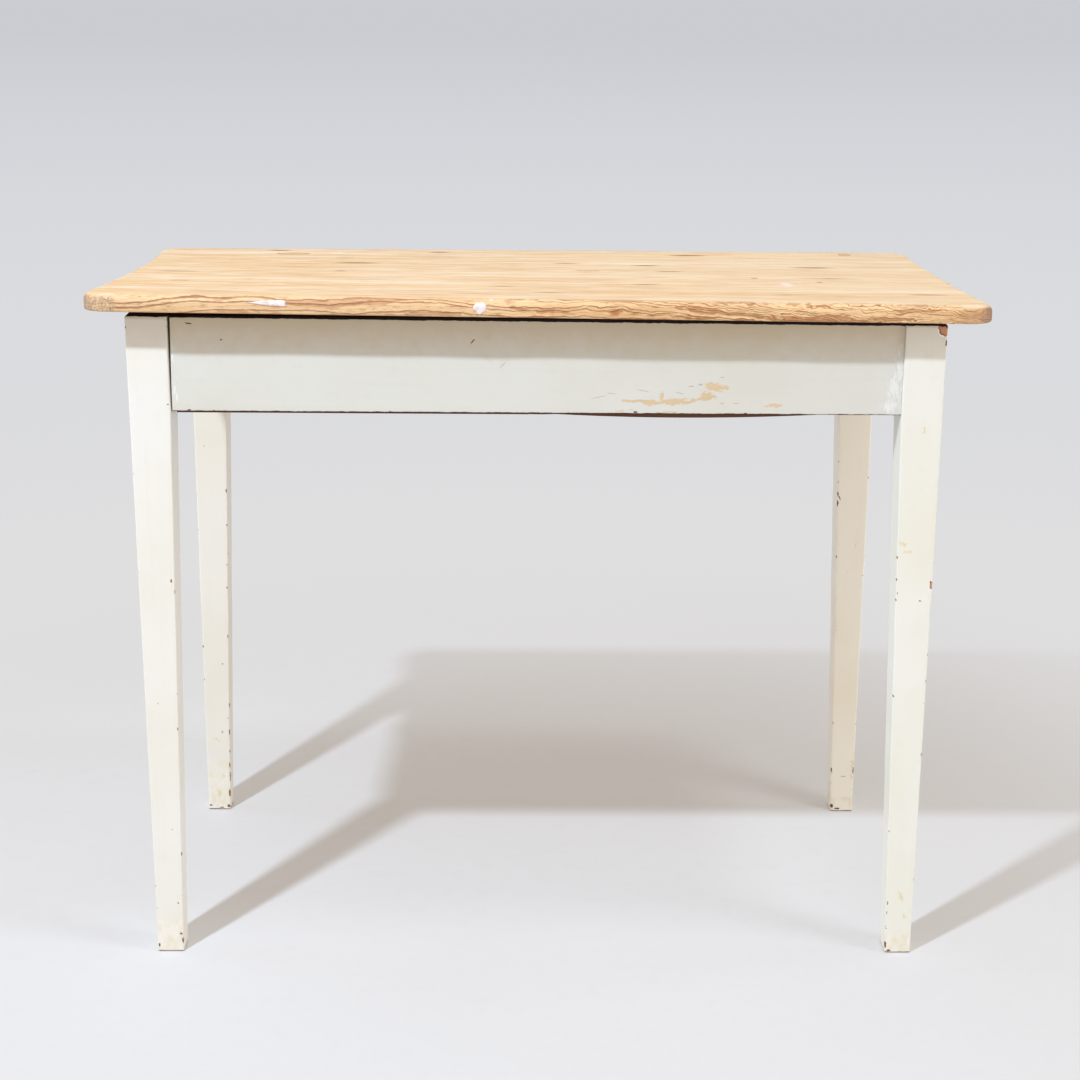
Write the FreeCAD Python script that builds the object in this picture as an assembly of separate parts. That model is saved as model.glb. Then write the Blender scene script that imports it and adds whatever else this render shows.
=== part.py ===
import FreeCAD
import Part
import math
import os

# A small pine kitchen table. A five-board top lies on four tapered legs, which are tied by two long
# aprons and by rails at the ends. A dovetailed drawer slides out of each end on wooden runners.
# Millimetres. X runs along the table, Y from front to back and Z up. The origin is on the floor
# under the middle of the top.

Vector = FreeCAD.Vector
X_AXIS = Vector(1, 0, 0)
Y_AXIS = Vector(0, 1, 0)
Z_AXIS = Vector(0, 0, 1)
ORIGIN = Vector(0, 0, 0)

# Frame
table_height = 750.0
frame_length = 866.0
frame_depth = 450.0

# Top
top_thickness = 19.0
end_overhang = 46.5
side_overhang = 30.0
board_count = 5
end_hollow = 8.0
corner_radius = 32.0
upper_round = 9.0
lower_round = 2.5
tongue_thickness = 6.0
tongue_depth = 6.0
tongue_stop = 45.0

# Legs
leg_size = 44.0
foot_size = 29.0
leg_top_bevel = 6.0

# Aprons along the front and the back
apron_height = 103.0
apron_thickness = 20.0
apron_setback = 4.0
apron_top_bevel = 3.0
apron_tenon_thickness = 8.0
apron_tenon_depth = 28.0
apron_tenon_shoulder = 12.0
apron_haunch = 20.0

# Rails across the ends, under and over each drawer
lower_rail_thickness = 20.0
upper_rail_thickness = 18.0
rail_tenon_thickness = 10.0
rail_tenon_depth = 16.0
rail_tenon_shoulder = 6.0
dovetail_thickness = 11.0
dovetail_length = 16.0
dovetail_neck = 20.0
dovetail_flare = 2.5

# Cross pieces at the middle of the table
stop_rail_thickness = 20.0
stop_rail_lift = 6.0
stop_tenon_thickness = 10.0
stop_tenon_depth = 8.0
stop_tenon_shoulder = 10.0
bearer_width = 40.0

# Runners, guides and kickers inside the aprons
runner_width = 45.0
runner_drop = 5.0
bow_drop = 2.7
bow_reach = 142.0
bow_inner_lift = 0.9
bow_outer_lift = 7.3
guide_height = 18.0
kicker_width = 45.0

# Drawers
front_thickness = 18.0
front_lap = 6.0
drawer_side_thickness = 12.0
drawer_back_thickness = 12.0
bottom_thickness = 6.0
bottom_lift = 6.0
groove_depth = 6.0
back_inset = 12.0
back_drop = 4.0
side_drop = 2.0
tail_count = 2
pin_width = 8.0
tail_flare = 2.0

# Turned knobs
knob_length = 26.0
knob_base_radius = 10.0
knob_base_band = 2.0
knob_neck_radius = 7.5
knob_neck_at = 8.0
knob_head_radius = 16.0
knob_head_at = 17.0
knob_rim = 2.0

# Screws and nails
screw_radius = 2.1
screw_head_radius = 4.2
screw_head_depth = 2.6
screw_point = 6.0
screw_tip_radius = 0.4
slot_width = 1.0
slot_depth = 1.1
screw_bite = 10.0
knob_screw_bite = 13.0
screw_inset = 45.0
screws_per_half = 3
nail_radius = 1.0
nail_head_radius = 1.9
nail_head_depth = 1.0
nail_point = 3.0
nail_tip_radius = 0.2
guide_nail_bite = 12.0
drawer_nail_length = 25.0
back_nail_spacing = 100.0
side_nail_spacing = 22.0
end_screw_spacing = 102.0

# Clearances
joint_gap = 0.1
tenon_end_gap = 1.0
hole_gap = 0.1
drawer_side_gap = 1.0
drawer_ride_gap = 0.2
drawer_head_gap = 2.0
front_foot_gap = 1.0
drawer_stop_gap = 0.5

# Places worked out from the sizes
top_length = frame_length + 2 * end_overhang
top_depth = frame_depth + 2 * side_overhang
board_width = top_depth / board_count
under_top = table_height - top_thickness
tongue_bottom = under_top + (top_thickness - tongue_thickness) / 2
apron_bottom = under_top - apron_height
leg_outer_x = frame_length / 2
leg_outer_y = frame_depth / 2
leg_inner_x = leg_outer_x - leg_size
leg_inner_y = leg_outer_y - leg_size
apron_outer_y = leg_outer_y - apron_setback
apron_inner_y = apron_outer_y - apron_thickness
rail_outer_x = leg_outer_x - apron_setback
rail_middle_x = (rail_outer_x + leg_inner_x) / 2
rail_top = apron_bottom + lower_rail_thickness
upper_rail_bottom = under_top - upper_rail_thickness
stop_half = stop_rail_thickness / 2
runner_inner_y = apron_inner_y - runner_width
kicker_inner_y = apron_inner_y - kicker_width
runner_bottom = apron_bottom - runner_drop
front_outer_x = rail_outer_x
front_inner_x = front_outer_x - front_thickness
front_bottom = rail_top + front_foot_gap
front_top = upper_rail_bottom - drawer_head_gap
front_middle = (front_bottom + front_top) / 2
drawer_half_width = leg_inner_y - drawer_side_gap
drawer_inner_y = drawer_half_width - drawer_side_thickness
drawer_floor = rail_top + drawer_ride_gap
drawer_side_top = front_top - side_drop
drawer_rear_x = stop_half + drawer_stop_gap
bottom_z = drawer_floor + bottom_lift
bottom_top = bottom_z + bottom_thickness
back_rear_x = drawer_rear_x + back_inset
back_middle_x = back_rear_x + drawer_back_thickness / 2


# Basic shapes
def block(x0, x1, y0, y1, z0, z1):
    return Part.makeBox(x1 - x0, y1 - y0, z1 - z0, Vector(x0, y0, z0))


def prism(points, sweep):
    face = Part.Face(Part.makePolygon(points + points[:1]))
    return face.extrude(sweep)


def turned(profile):
    closed = profile + [profile[0]]
    return Part.Face(Part.makePolygon(closed)).revolve(ORIGIN, Z_AXIS, 360)


def placed(shape, point, direction):
    moved = shape.copy()
    moved.Placement = FreeCAD.Placement(point, FreeCAD.Rotation(Z_AXIS, direction))
    return moved


def across(shape):
    return shape.mirror(ORIGIN, X_AXIS)


def behind(shape):
    return shape.mirror(ORIGIN, Y_AXIS)


def half_turn(shape):
    turned_shape = shape.copy()
    turned_shape.rotate(ORIGIN, Z_AXIS, 180)
    return turned_shape


def spread(start, end, count):
    step = (end - start) / (count - 1)
    return [start + step * i for i in range(count)]


def midway(values):
    return [(a + b) / 2 for a, b in zip(values, values[1:])]


def both_ways(values):
    return [-v for v in values] + list(values)


# Screws and nails, made with the head at the origin and the point along +Z
def screw_profile(length, gap):
    radius = screw_radius + gap
    neck = length - screw_point
    return [
        Vector(0, 0, 0),
        Vector(screw_head_radius + gap, 0, 0),
        Vector(radius, 0, screw_head_depth),
        Vector(radius, 0, neck + gap),
        Vector(screw_tip_radius + gap, 0, length + gap),
        Vector(0, 0, length + gap),
    ]


def screw(length):
    slot = block(-screw_head_radius, screw_head_radius, -slot_width / 2, slot_width / 2, 0, slot_depth)
    return turned(screw_profile(length, 0)).cut(slot)


def screw_hole(length):
    return turned(screw_profile(length, hole_gap))


def nail_profile(length, gap):
    radius = nail_radius + gap
    return [
        Vector(0, 0, 0),
        Vector(nail_head_radius + gap, 0, 0),
        Vector(nail_head_radius + gap, 0, nail_head_depth + gap),
        Vector(radius, 0, nail_head_depth + gap),
        Vector(radius, 0, length - nail_point + gap),
        Vector(nail_tip_radius + gap, 0, length + gap),
        Vector(0, 0, length + gap),
    ]


def nail(length):
    return turned(nail_profile(length, 0))


def nail_hole(length):
    return turned(nail_profile(length, hole_gap))


def fasten(make_fastener, make_hole, length, places):
    fasteners = [placed(make_fastener(length), point, way) for point, way in places]
    holes = [placed(make_hole(length), point, way) for point, way in places]
    return Part.makeCompound(fasteners), Part.makeCompound(holes)


# Top: one slab with hollow ends, rounded corners and rounded edges, ripped into boards
def top_slab():
    x = top_length / 2
    y = top_depth / 2
    corners = [Vector(-x, -y, 0), Vector(x, -y, 0), Vector(x, y, 0), Vector(-x, y, 0)]
    edges = [
        Part.makeLine(corners[0], corners[1]),
        Part.Arc(corners[1], Vector(x - end_hollow, 0, 0), corners[2]).toShape(),
        Part.makeLine(corners[2], corners[3]),
        Part.Arc(corners[3], Vector(end_hollow - x, 0, 0), corners[0]).toShape(),
    ]
    slab = Part.Face(Part.Wire(edges)).extrude(Vector(0, 0, top_thickness))
    slab.translate(Vector(0, 0, under_top))
    upright = [e for e in slab.Edges if abs(e.Vertexes[0].Z - e.Vertexes[-1].Z) > top_thickness / 2]
    slab = slab.makeFillet(corner_radius, upright)
    upper = [e for e in slab.Edges if e.BoundBox.ZMin > table_height - upper_round]
    slab = slab.makeFillet(upper_round, upper)
    lower = [e for e in slab.Edges if e.BoundBox.ZMax < under_top + lower_round]
    return slab.makeFillet(lower_round, lower)


def tongue(seam_y, gap):
    reach = top_length / 2 - tongue_stop + gap
    top = tongue_bottom + tongue_thickness
    return block(-reach, reach, seam_y, seam_y + tongue_depth + gap, tongue_bottom - gap, top + gap)


def top_boards():
    slab = top_slab()
    boards = []
    for i in range(board_count):
        front = -top_depth / 2 + i * board_width
        back = front + board_width
        board = slab.common(block(-top_length, top_length, front, back, under_top, table_height))
        if i > 0:
            board = board.cut(tongue(front, joint_gap))
        if i < board_count - 1:
            board = board.fuse(tongue(back, 0)).removeSplitter()
        boards.append(board)
    return boards


# Tenons, each used for the tenon itself and, with a gap, for its mortise
def apron_tenon(gap):
    middle = (apron_outer_y + apron_inner_y) / 2
    half = apron_tenon_thickness / 2 + gap
    depth = apron_tenon_depth + (tenon_end_gap if gap else 0)
    low = apron_bottom + apron_tenon_shoulder - gap
    high = under_top - apron_haunch + gap
    return block(leg_inner_x, leg_inner_x + depth, middle - half, middle + half, low, high)


def rail_tenon(gap):
    middle = apron_bottom + lower_rail_thickness / 2
    half = rail_tenon_thickness / 2 + gap
    depth = rail_tenon_depth + (tenon_end_gap if gap else 0)
    inner = leg_inner_x + rail_tenon_shoulder - gap
    outer = rail_outer_x - rail_tenon_shoulder + gap
    return block(inner, outer, leg_inner_y, leg_inner_y + depth, middle - half, middle + half)


def rail_dovetail(gap):
    neck = dovetail_neck / 2 + gap
    tail = neck + dovetail_flare
    end = leg_inner_y + dovetail_length + gap
    low = under_top - dovetail_thickness - gap
    points = [
        Vector(rail_middle_x - neck, leg_inner_y, low),
        Vector(rail_middle_x + neck, leg_inner_y, low),
        Vector(rail_middle_x + tail, end, low),
        Vector(rail_middle_x - tail, end, low),
    ]
    return prism(points, Vector(0, 0, under_top - low))


def stop_tenon(gap):
    half = stop_tenon_thickness / 2 + gap
    low = apron_bottom + stop_rail_lift + stop_tenon_shoulder - gap
    high = upper_rail_bottom - stop_tenon_shoulder + gap
    depth = stop_tenon_depth + (tenon_end_gap if gap else 0)
    return block(-half, half, apron_inner_y, apron_inner_y + depth, low, high)


# Leg at the back right: straight outside, tapered on its two inner faces below the apron
def leg_outline(outer, inner):
    foot = outer - foot_size
    return [
        (outer, 0),
        (outer, under_top - leg_top_bevel),
        (outer - leg_top_bevel, under_top),
        (inner, under_top),
        (inner, apron_bottom),
        (foot, 0),
    ]


def leg():
    side = [Vector(x, 0, z) for x, z in leg_outline(leg_outer_x, leg_inner_x)]
    front = [Vector(0, y, z) for y, z in leg_outline(leg_outer_y, leg_inner_y)]
    along_y = prism(side, Vector(0, leg_outer_y, 0))
    along_x = prism(front, Vector(leg_outer_x, 0, 0))
    body = along_y.common(along_x)
    for mortise in (apron_tenon(joint_gap), rail_tenon(joint_gap), rail_dovetail(joint_gap)):
        body = body.cut(mortise)
    return body


# Apron along the back, with a haunched tenon at each end and a housing for the stop rail
def apron():
    outline = [
        Vector(-leg_inner_x, apron_inner_y, apron_bottom),
        Vector(-leg_inner_x, apron_outer_y, apron_bottom),
        Vector(-leg_inner_x, apron_outer_y, under_top - apron_top_bevel),
        Vector(-leg_inner_x, apron_outer_y - apron_top_bevel, under_top),
        Vector(-leg_inner_x, apron_inner_y, under_top),
    ]
    board = prism(outline, Vector(2 * leg_inner_x, 0, 0))
    board = board.fuse([apron_tenon(0), across(apron_tenon(0))])
    return board.cut(stop_tenon(joint_gap))


# Rails under and over the right drawer
def lower_rail():
    rail = block(leg_inner_x, rail_outer_x, -leg_inner_y, leg_inner_y, apron_bottom, rail_top)
    return rail.fuse([rail_tenon(0), behind(rail_tenon(0))])


def upper_rail():
    rail = block(leg_inner_x, rail_outer_x, -leg_inner_y, leg_inner_y, upper_rail_bottom, under_top)
    return rail.fuse([rail_dovetail(0), behind(rail_dovetail(0))])


# Stop rail that the drawers close against, and the bearer over it that the top is screwed to
def stop_rail():
    low = apron_bottom + stop_rail_lift
    rail = block(-stop_half, stop_half, -apron_inner_y, apron_inner_y, low, upper_rail_bottom)
    return rail.fuse([stop_tenon(0), behind(stop_tenon(0))])


def bearer():
    half = bearer_width / 2
    return block(-half, half, -kicker_inner_y, kicker_inner_y, upper_rail_bottom, under_top)


# Runner, guide and kicker on the inside of the back apron, for the right drawer
def runner():
    return block(stop_half, leg_inner_x, runner_inner_y, apron_inner_y, runner_bottom, rail_top)


def bowed_runner():
    inner = Vector(stop_half, runner_inner_y, runner_bottom + bow_inner_lift)
    lowest = Vector(stop_half + bow_reach, runner_inner_y, runner_bottom - bow_drop)
    outer = Vector(leg_inner_x, runner_inner_y, runner_bottom + bow_outer_lift)
    top_inner = Vector(stop_half, runner_inner_y, rail_top)
    top_outer = Vector(leg_inner_x, runner_inner_y, rail_top)
    edges = [
        Part.Arc(inner, lowest, outer).toShape(),
        Part.makeLine(outer, top_outer),
        Part.makeLine(top_outer, top_inner),
        Part.makeLine(top_inner, inner),
    ]
    return Part.Face(Part.Wire(edges)).extrude(Vector(0, runner_width, 0))


def guide():
    return block(stop_half, leg_inner_x, leg_inner_y, apron_inner_y, rail_top, rail_top + guide_height)


def kicker():
    return block(-leg_inner_x, leg_inner_x, kicker_inner_y, apron_inner_y, upper_rail_bottom, under_top)


# Drawer at the right: half-blind dovetails at the front, housed back, loose bottom in grooves
def tails(gap):
    height = drawer_side_top - drawer_floor
    tail_width = (height - pin_width * (tail_count + 1)) / tail_count
    end = front_outer_x - front_lap + gap
    shapes = []
    for i in range(tail_count):
        middle = drawer_floor + pin_width * (i + 1) + tail_width * (i + 0.5)
        narrow = tail_width / 2 + gap
        wide = narrow + tail_flare
        points = [
            Vector(front_inner_x, drawer_inner_y - gap, middle - narrow),
            Vector(front_inner_x, drawer_inner_y - gap, middle + narrow),
            Vector(end, drawer_inner_y - gap, middle + wide),
            Vector(end, drawer_inner_y - gap, middle - wide),
        ]
        shapes.append(prism(points, Vector(0, drawer_side_thickness + gap, 0)))
    return shapes


def drawer_bottom(gap):
    reach = drawer_inner_y + groove_depth - joint_gap + gap
    front = front_inner_x + groove_depth - joint_gap + gap
    return block(drawer_rear_x, front, -reach, reach, bottom_z - gap, bottom_top + gap)


def drawer_back(gap):
    reach = drawer_inner_y + groove_depth - joint_gap + gap
    rear = back_rear_x - gap
    face = back_rear_x + drawer_back_thickness + gap
    low = bottom_top + joint_gap - gap
    return block(rear, face, -reach, reach, low, drawer_side_top - back_drop + gap)


def drawer_side():
    side = block(
        drawer_rear_x, front_inner_x, drawer_inner_y, drawer_half_width, drawer_floor, drawer_side_top
    )
    side = side.fuse(tails(0)).removeSplitter()
    return side.cut(drawer_bottom(joint_gap)).cut(drawer_back(joint_gap))


def drawer_front():
    front = block(
        front_inner_x, front_outer_x, -drawer_half_width, drawer_half_width, front_bottom, front_top
    )
    sockets = tails(joint_gap)
    front = front.cut(Part.makeCompound(sockets + [behind(s) for s in sockets]))
    return front.cut(drawer_bottom(joint_gap))


# Knob turned about its own axis, with a hollow neck, a thin rim and a spherical crown
def knob():
    crown_height = knob_length - knob_head_at
    crown_radius = (knob_head_radius ** 2 + crown_height ** 2) / (2 * crown_height)
    half_angle = math.asin(knob_head_radius / crown_radius) / 2
    crown_middle = knob_length - crown_radius * (1 - math.cos(half_angle))
    foot = Vector(0, 0, 0)
    base = Vector(knob_base_radius, 0, 0)
    band = Vector(knob_base_radius, 0, knob_base_band)
    neck = Vector(knob_neck_radius, 0, knob_neck_at)
    rim_low = Vector(knob_head_radius, 0, knob_head_at - knob_rim)
    rim_high = Vector(knob_head_radius, 0, knob_head_at)
    crown = Vector(crown_radius * math.sin(half_angle), 0, crown_middle)
    tip = Vector(0, 0, knob_length)
    edges = [
        Part.makeLine(foot, base),
        Part.makeLine(base, band),
        Part.Arc(band, neck, rim_low).toShape(),
        Part.makeLine(rim_low, rim_high),
        Part.Arc(rim_high, crown, tip).toShape(),
        Part.makeLine(tip, foot),
    ]
    shape = Part.Face(Part.Wire(edges)).revolve(ORIGIN, Z_AXIS, 360)
    return placed(shape, Vector(front_outer_x, 0, front_middle), X_AXIS)


# Where the screws and nails go
def runner_screw_places():
    height = (apron_bottom + rail_top) / 2
    along = both_ways(spread(stop_half + screw_inset, leg_inner_x - screw_inset, screws_per_half))
    back = [(Vector(x, runner_inner_y, height), Y_AXIS) for x in along]
    front = [(Vector(x, -runner_inner_y, height), -Y_AXIS) for x in along]
    return back + front


def kicker_run():
    return spread(bearer_width / 2 + screw_inset, leg_inner_x - screw_inset, screws_per_half)


def kicker_screw_places():
    height = (upper_rail_bottom + under_top) / 2
    along = both_ways(kicker_run())
    back = [(Vector(x, kicker_inner_y, height), Y_AXIS) for x in along]
    front = [(Vector(x, -kicker_inner_y, height), -Y_AXIS) for x in along]
    return back + front


def top_screw_places():
    line = (kicker_inner_y + apron_inner_y) / 2
    spots = [(x, y) for x in both_ways(midway(kicker_run())) for y in (-line, line)]
    for x in (-rail_middle_x, 0, rail_middle_x):
        spots += [(x, y) for y in (-end_screw_spacing, 0, end_screw_spacing)]
    return [(Vector(x, y, upper_rail_bottom), Z_AXIS) for x, y in spots]


def guide_nail_places():
    line = (leg_inner_y + apron_inner_y) / 2
    run = spread(stop_half + screw_inset, leg_inner_x - screw_inset, screws_per_half)
    top = rail_top + guide_height
    return [(Vector(x, y, top), -Z_AXIS) for x in both_ways(midway(run)) for y in (-line, line)]


def drawer_nail_places():
    across_back = (-back_nail_spacing, 0, back_nail_spacing)
    spots = [(Vector(back_middle_x, y, bottom_z), Z_AXIS) for y in across_back]
    middle = (bottom_top + drawer_side_top) / 2
    for z in (middle - side_nail_spacing / 2, middle + side_nail_spacing / 2):
        spots.append((Vector(back_middle_x, drawer_half_width, z), -Y_AXIS))
        spots.append((Vector(back_middle_x, -drawer_half_width, z), Y_AXIS))
    return spots


# Frame pieces, with the holes of the screws and nails that pass through them
def frame_parts():
    runner_length = runner_width + screw_bite
    kicker_length = kicker_width + screw_bite
    top_screw_length = upper_rail_thickness + screw_bite
    guide_nail_length = guide_height + guide_nail_bite
    runner_screws, runner_holes = fasten(screw, screw_hole, runner_length, runner_screw_places())
    kicker_screws, kicker_holes = fasten(screw, screw_hole, kicker_length, kicker_screw_places())
    top_screws, top_holes = fasten(screw, screw_hole, top_screw_length, top_screw_places())
    guide_nails, guide_holes = fasten(nail, nail_hole, guide_nail_length, guide_nail_places())

    parts = {}
    for number, board in enumerate(top_boards(), start=1):
        parts[f"top_board_{number}"] = board.cut(top_holes)

    corner = leg()
    parts["leg_back_right"] = corner
    parts["leg_back_left"] = across(corner)
    parts["leg_front_right"] = behind(corner)
    parts["leg_front_left"] = across(behind(corner))

    apron_holes = Part.makeCompound([runner_holes, kicker_holes])
    parts["back_apron"] = apron().cut(apron_holes)
    parts["front_apron"] = behind(apron()).cut(apron_holes)

    parts["right_lower_rail"] = lower_rail()
    parts["left_lower_rail"] = across(lower_rail())
    parts["right_upper_rail"] = upper_rail().cut(top_holes)
    parts["left_upper_rail"] = across(upper_rail()).cut(top_holes)
    parts["centre_stop_rail"] = stop_rail()
    parts["centre_bearer"] = bearer().cut(top_holes)

    runners = {
        "runner_back_right": runner(),
        "runner_back_left": across(runner()),
        "runner_front_right": behind(bowed_runner()),
        "runner_front_left": across(behind(runner())),
    }
    for name, shape in runners.items():
        parts[name] = shape.cut(runner_holes).cut(guide_holes)

    guides = {
        "guide_back_right": guide(),
        "guide_back_left": across(guide()),
        "guide_front_right": behind(guide()),
        "guide_front_left": across(behind(guide())),
    }
    for name, shape in guides.items():
        parts[name] = shape.cut(guide_holes)

    kicker_cuts = Part.makeCompound([kicker_holes, top_holes])
    parts["kicker_back"] = kicker().cut(kicker_cuts)
    parts["kicker_front"] = behind(kicker()).cut(kicker_cuts)

    parts["runner_screws"] = runner_screws
    parts["kicker_screws"] = kicker_screws
    parts["top_screws"] = top_screws
    parts["guide_nails"] = guide_nails
    return parts


# Drawer pieces at the right, with the sides named as seen by someone facing the drawer
def drawer_parts():
    screw_length = front_thickness + knob_screw_bite
    screw_place = [(Vector(front_inner_x, 0, front_middle), X_AXIS)]
    knob_screw, knob_hole = fasten(screw, screw_hole, screw_length, screw_place)
    nails, nail_holes = fasten(nail, nail_hole, drawer_nail_length, drawer_nail_places())
    side = drawer_side()
    return {
        "front": drawer_front().cut(knob_hole),
        "side_right": side.cut(nail_holes),
        "side_left": behind(side).cut(nail_holes),
        "back": drawer_back(0).cut(nail_holes),
        "bottom": drawer_bottom(0).cut(nail_holes),
        "knob": knob().cut(knob_hole),
        "knob_screw": knob_screw,
        "nails": nails,
    }


def write(name, shape):
    shape.exportStep(os.path.join("parts", name + ".step"))


def main():
    os.makedirs("parts", exist_ok=True)
    for name, shape in frame_parts().items():
        write(name, shape)
    for name, shape in drawer_parts().items():
        write("right_drawer_" + name, shape)
        write("left_drawer_" + name, half_turn(shape))


main()
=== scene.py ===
import math

import bmesh
import bpy
import numpy as np
from mathutils import Matrix, Vector


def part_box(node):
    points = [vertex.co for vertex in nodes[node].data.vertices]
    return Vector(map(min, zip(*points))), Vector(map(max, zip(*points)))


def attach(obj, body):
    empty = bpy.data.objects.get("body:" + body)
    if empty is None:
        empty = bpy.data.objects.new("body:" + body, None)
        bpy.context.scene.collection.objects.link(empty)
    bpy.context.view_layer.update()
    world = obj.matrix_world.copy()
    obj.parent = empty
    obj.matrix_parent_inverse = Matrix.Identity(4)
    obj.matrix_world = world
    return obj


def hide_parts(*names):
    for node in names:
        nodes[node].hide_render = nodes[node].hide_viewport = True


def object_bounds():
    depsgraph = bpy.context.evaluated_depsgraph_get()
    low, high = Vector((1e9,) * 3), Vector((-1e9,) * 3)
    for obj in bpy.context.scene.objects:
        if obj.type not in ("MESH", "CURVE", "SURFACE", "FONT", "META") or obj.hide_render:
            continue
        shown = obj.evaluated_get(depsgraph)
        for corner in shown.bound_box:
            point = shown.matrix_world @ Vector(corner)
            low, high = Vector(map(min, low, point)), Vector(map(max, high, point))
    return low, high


# A small pine kitchen table: honey-coloured boards on a cream-painted frame with a drawer in each end.
# Metres. X runs along the table, Y from front to back and Z up, as in the solids.

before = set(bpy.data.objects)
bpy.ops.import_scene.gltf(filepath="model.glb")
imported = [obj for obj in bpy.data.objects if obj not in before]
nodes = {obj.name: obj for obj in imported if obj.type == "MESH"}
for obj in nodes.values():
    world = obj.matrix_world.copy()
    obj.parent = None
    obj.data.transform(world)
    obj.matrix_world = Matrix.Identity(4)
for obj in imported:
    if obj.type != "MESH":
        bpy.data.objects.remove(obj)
cad_low, cad_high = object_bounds()
MM = 0.001

# Top, as the solids have it
top_low, top_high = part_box("top_board_1")
half_depth = -cad_low.y
under_top = top_low.z
table_height = top_high.z
board_count = 5
board_width = 2 * half_depth / board_count
end_hollow = 8 * MM
corner_radius = 32 * MM
upper_round = 9 * MM
lower_round = 2.5 * MM
half_length = top_high.x + corner_radius * 2 * end_hollow / half_depth

# How age has changed the top: it has lifted at its front left corner, and its ends have worn unevenly
left_hollow = 10.5 * MM
right_hollow = 6 * MM
corner_lift = 7.5 * MM
back_cup = 1.4 * MM
seam_depth = 0.35 * MM
seam_reach = 0.5 * MM
edge_wander = 0.4 * MM
face_wander = 0.12 * MM

# Frame
apron_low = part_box("front_apron")[0]
leg_step = 4 * MM
leg_uneven = 0.12 * MM
foot_ease = 1.2 * MM
arris_round = 1.4 * MM
arris_wander = 0.25 * MM
apron_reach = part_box("leg_front_right")[0].x - 0.15 * MM
apron_step = 5 * MM
apron_uneven = 0.15 * MM
apron_bevel = 3 * MM
apron_dip = 1.3 * MM
apron_dip_reach = 26 * MM
left_joint_gap = 1.7 * MM
left_joint_reach = 2.2 * MM

# Each leg's lean at its top and at its foot, its paint, and how high its stain stands. The back right leg's
# paint is lighter, as painted light where the top shades it.
leg_plans = {
    "leg_front_left": (-3.4 * MM, 3 * MM, (241, 238, 231), 38 * MM),
    "leg_front_right": (0, 0, (241, 240, 231), 24 * MM),
    "leg_back_left": (-2.5 * MM, -3.5 * MM, (240, 236, 226), 60 * MM),
    # Painted light: paler paint on the back right leg, which stands in the top's shadow
    "leg_back_right": (0, 3.5 * MM, (251, 246, 233), 20 * MM),
}

# Turned knobs: the radius of base and neck, and places along them
knob_base = 10 * MM
knob_band = 2 * MM
knob_neck = 7.5 * MM
knob_neck_at = 8 * MM
knob_head_at = 17 * MM
knob_rim = 2 * MM
knob_ease = 0.5 * MM
knob_out_of_round = 0.006

# Where a finish begins and where it is full: by distance from the middle of the top, then by height
end_grain = (440 * MM, 448 * MM)
end_tip = (462 * MM, 476 * MM)
# Painted shade on the paint up under the top: where it begins and where it is full
under_top_shade = (694 * MM, 740 * MM)
# Painted shade: bared wood goes near black up under the top, from where it begins to where it is full
gap_shade = (719 * MM, 724 * MM)
# Above the paint line the bared wood takes the painted shade of the gap under the top
paint_line = 726.2 * MM
paint_line_slope = 5 * MM

# Camera
camera_place = Vector((-25.8 * MM, -2265.4 * MM, 1020.2 * MM))
camera_lens = 64.75
camera_pitch = math.radians(14.59)
camera_yaw = math.radians(0.81)
camera_roll = math.radians(0.49)

# Light and floor: each lamp's place, size, power and colour
lamps = {
    "key": ((-1.363, -1.901, 3.2), 0.17, 101, (0.735, 0.855, 1)),
    "second": ((1.4, -0.79, 3.9), 0.6, 20, (0.86, 0.93, 1)),
    "fill": ((2.3, -1.1, 0.55), 1, 7.5, (0.98, 0.97, 0.95)),
    "left_low": ((-3.2, 0.6, 0.45), 0.9, 16, (0.55, 0.78, 1)),
    "right_low": ((3.2, 0.3, 0.45), 0.9, 16, (0.72, 0.88, 1)),
}
lamps_aim = Vector((0, 0, 0.5))
sky_strength = 0.59
sky_colour = (0.98, 0.83, 0.665, 1)
floor_radius = 400
floor_clear = 0.3
floor_far = 1.7
# Painted light: the share of the floor that glows even near the table, lightening the table's shadow there
floor_glow_share = 0.2


def shade(red, green, blue):
    """A screen colour, 0 to 255, as the linear colour that a shader takes. The looks name screen colours."""
    shares = np.array((red, green, blue)) / 255
    linear = np.where(shares <= 0.04045, shares / 12.92, ((shares + 0.055) / 1.055) ** 2.4)
    return (*linear.tolist(), 1)


def dim(tone, share):
    return [share * value for value in tone]


def ease(low, high, value):
    """0 below low, 1 above high and a smooth step between them."""
    share = np.clip((value - low) / (high - low), 0, 1)
    return share * share * (3 - 2 * share)


def ripple(value, wavelength, seed, waves=7):
    """A smooth, seeded wander between about -1 and 1 along a line of values."""
    draw = np.random.default_rng(seed)
    total = np.zeros_like(value)
    for _ in range(waves):
        rate = draw.uniform(0.5, 1.7) / wavelength
        total += np.sin(2 * math.pi * (rate * value + draw.uniform()))
    return total / math.sqrt(waves)


class Nodes:
    """The shader nodes of a material or of the sky."""

    def __init__(self, owner):
        owner.use_nodes = True
        self.tree = owner.node_tree

    def feed(self, socket, value):
        if isinstance(value, bpy.types.NodeSocket):
            self.tree.links.new(value, socket)
        else:
            socket.default_value = shade(*value) if socket.type == "RGBA" else value

    def node(self, kind, inputs=None, **settings):
        made = self.tree.nodes.new("ShaderNode" + kind)
        for key, value in settings.items():
            setattr(made, key, value)
        for key, value in (inputs or {}).items():
            self.feed(made.inputs[key], value)
        return made

    def math(self, operation, *values):
        return self.node("Math", dict(enumerate(values)), operation=operation).outputs[0]

    def seen(self):
        """1 for what the camera sees, straight or in a shine, and 0 for other light."""
        rays = self.node("LightPath").outputs
        return self.math("MAXIMUM", rays["Is Camera Ray"], rays["Is Glossy Ray"])


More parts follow.
